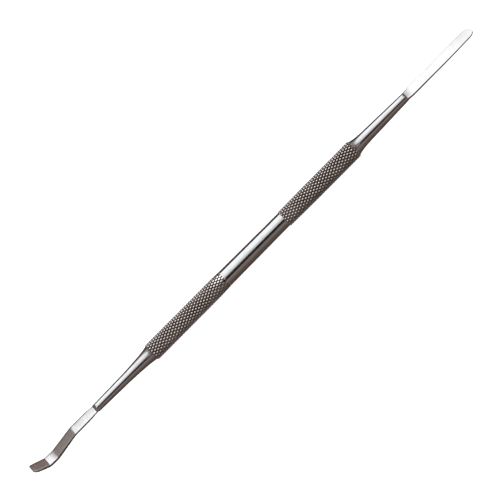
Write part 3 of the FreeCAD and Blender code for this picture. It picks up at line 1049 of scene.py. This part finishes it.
def add_front_panel():
    """A low panel in front of the tool, black across its middle and lit at both ends.

    The black part draws the dark line along the handle. The lit ends keep the blades from
    looking black from behind.
    """
    distance, half_length, half_height = 0.1, 0.092, 0.0177
    black_half, lit_from, brightness = 0.068, 0.073, 0.45
    tilt = math.radians(38.0)
    out = Vector((0.0, -math.cos(tilt), math.sin(tilt)))
    rise = Vector((0.0, math.sin(tilt), math.cos(tilt)))
    corners = [out * distance + rise * (v * half_height) + Vector((u * half_length, 0.0, 0.0))
               for u, v in ((-1, -1), (1, -1), (1, 1), (-1, 1))]
    made = Recipe("front_panel_light", "ShaderNodeEmission")
    aside = made.math("ABSOLUTE", made.x)
    glow = made.ranged(aside, black_half, lit_from, 0.0, brightness, "SMOOTHSTEP")
    panel = light_panel("front_panel", corners, opaque((1.0, 0.98, 0.96)), glow, made)
    panel.visible_shadow = False
    panel.visible_diffuse = False


def add_fill():
    """A broad weak light over the whole table, which the steel doesn't mirror."""
    light = bpy.data.lights.new("table_fill", "AREA")
    light.shape = "DISK"
    light.size = 2.4
    light.energy = 12.0
    lamp = bpy.data.objects.new("table_fill", light)
    lamp.location = (0.0, 0.0, 2.0)
    lamp.visible_glossy = False
    lamp.visible_camera = False
    bpy.context.scene.collection.objects.link(lamp)


def add_room(scene, settings):
    """The dim warm room round the table, as a gradient about the tool's length."""
    made = Recipe("room", "ShaderNodeBackground", "Generated")
    around = made.math("ARCTAN2", made.z, made.math("MULTIPLY", made.y, -1.0))
    turn = made.math("MULTIPLY_ADD", around, 1 / (2 * math.pi), 0.5)
    # Degrees up from the front, over the top and on down the back.
    stops = [
        (-180, (0.123, 0.104, 0.096)), (-120, (0.123, 0.087, 0.071)), (-62, (0.113, 0.077, 0.061)),
        (-45, (0.128, 0.089, 0.074)), (-28, (0.179, 0.135, 0.12)), (-8, (0.215, 0.171, 0.154)),
        (4, (0.308, 0.253, 0.231)), (12, (0.246, 0.198, 0.183)), (22, (0.062, 0.045, 0.039)),
        (28, (0.004, 0.003, 0.003)), (48, (0.004, 0.003, 0.003)), (52, (0.348, 0.288, 0.265)),
        (90, (0.41, 0.342, 0.312)), (138, (0.41, 0.342, 0.312)), (145, (0.055, 0.045, 0.042)),
        (180, (0.123, 0.104, 0.096)),
    ]
    ring = made.ramp(turn, [((degrees + 180) / 360, colour) for degrees, colour in stops])
    endwise = made.math("POWER", made.math("ABSOLUTE", made.x), 4.0)
    made.plug(made.mixed(endwise, ring, opaque((0.27, 0.205, 0.185))), made.shader.inputs["Color"])
    made.plug(settings.surround, made.shader.inputs["Strength"])
    scene.world = made.material


def add_camera(scene, settings):
    """A long lens that looks down at the tool, rolled so that it crosses the picture."""
    elevation, roll = settings.view_elevation, settings.view_roll
    back = Vector((0.0, -math.cos(elevation), math.sin(elevation)))
    level_up = Vector((0.0, math.sin(elevation), math.cos(elevation)))
    level_right = Vector((1.0, 0.0, 0.0))
    right = level_right * math.cos(roll) - level_up * math.sin(roll)
    up = level_right * math.sin(roll) + level_up * math.cos(roll)
    # A little left of the tool's middle and a little above it, to centre it in the picture.
    aim = right * -0.0006 + up * 0.00025
    data = bpy.data.cameras.new("camera")
    data.sensor_width = 36.0
    data.lens = data.sensor_width * settings.camera_distance / settings.field
    data.clip_start = 0.01
    data.clip_end = 50.0
    camera = bpy.data.objects.new("camera", data)
    camera.matrix_world = Matrix.Translation(aim + back * settings.camera_distance) @ Matrix(
        (right, up, back)).transposed().to_4x4()
    scene.collection.objects.link(camera)
    scene.camera = camera


# ---------------------------------------------------------------- panel

class CUTICLE_PT_sidebar(bpy.types.Panel):
    """Buttons and settings for the cuticle pusher"""

    bl_idname = "CUTICLE_PT_sidebar"
    bl_label = "Cuticle Pusher"
    bl_space_type = "VIEW_3D"
    bl_region_type = "UI"
    bl_category = "Cuticle Pusher"

    def draw(self, context):
        layout = self.layout
        for name, operators in (
                ("cuticle_handle", ("cuticle.add_handle",)),
                ("cuticle_finish", ("cuticle.add_pusher", "cuticle.add_cleaner",
                                    "cuticle.finish_braze")),
                ("cuticle_stage", ("cuticle.add_stage",))):
            box = layout.box()
            settings = getattr(context.scene, name)
            for key in settings.__annotations__:
                box.prop(settings, key)
            for operator in operators:
                box.operator(operator)


GROUPS = {
    "cuticle_handle": CuticleHandleSettings,
    "cuticle_finish": CuticleFinishSettings,
    "cuticle_stage": CuticleStageSettings,
}
CLASSES = (
    *GROUPS.values(),
    CUTICLE_OT_add_handle,
    CUTICLE_OT_add_pusher,
    CUTICLE_OT_add_cleaner,
    CUTICLE_OT_finish_braze,
    CUTICLE_OT_add_stage,
    CUTICLE_PT_sidebar,
)


def register():
    for cls in CLASSES:
        bpy.utils.register_class(cls)
    for name, group in GROUPS.items():
        setattr(bpy.types.Scene, name, bpy.props.PointerProperty(type=group))


def unregister():
    for name in GROUPS:
        delattr(bpy.types.Scene, name)
    for cls in reversed(CLASSES):
        bpy.utils.unregister_class(cls)


def main():
    register()
    bpy.ops.cuticle.add_stage()
    bpy.ops.cuticle.add_handle()
    bpy.ops.cuticle.add_pusher()
    bpy.ops.cuticle.add_cleaner()
    bpy.ops.cuticle.finish_braze()


if __name__ == "__main__":
    main()
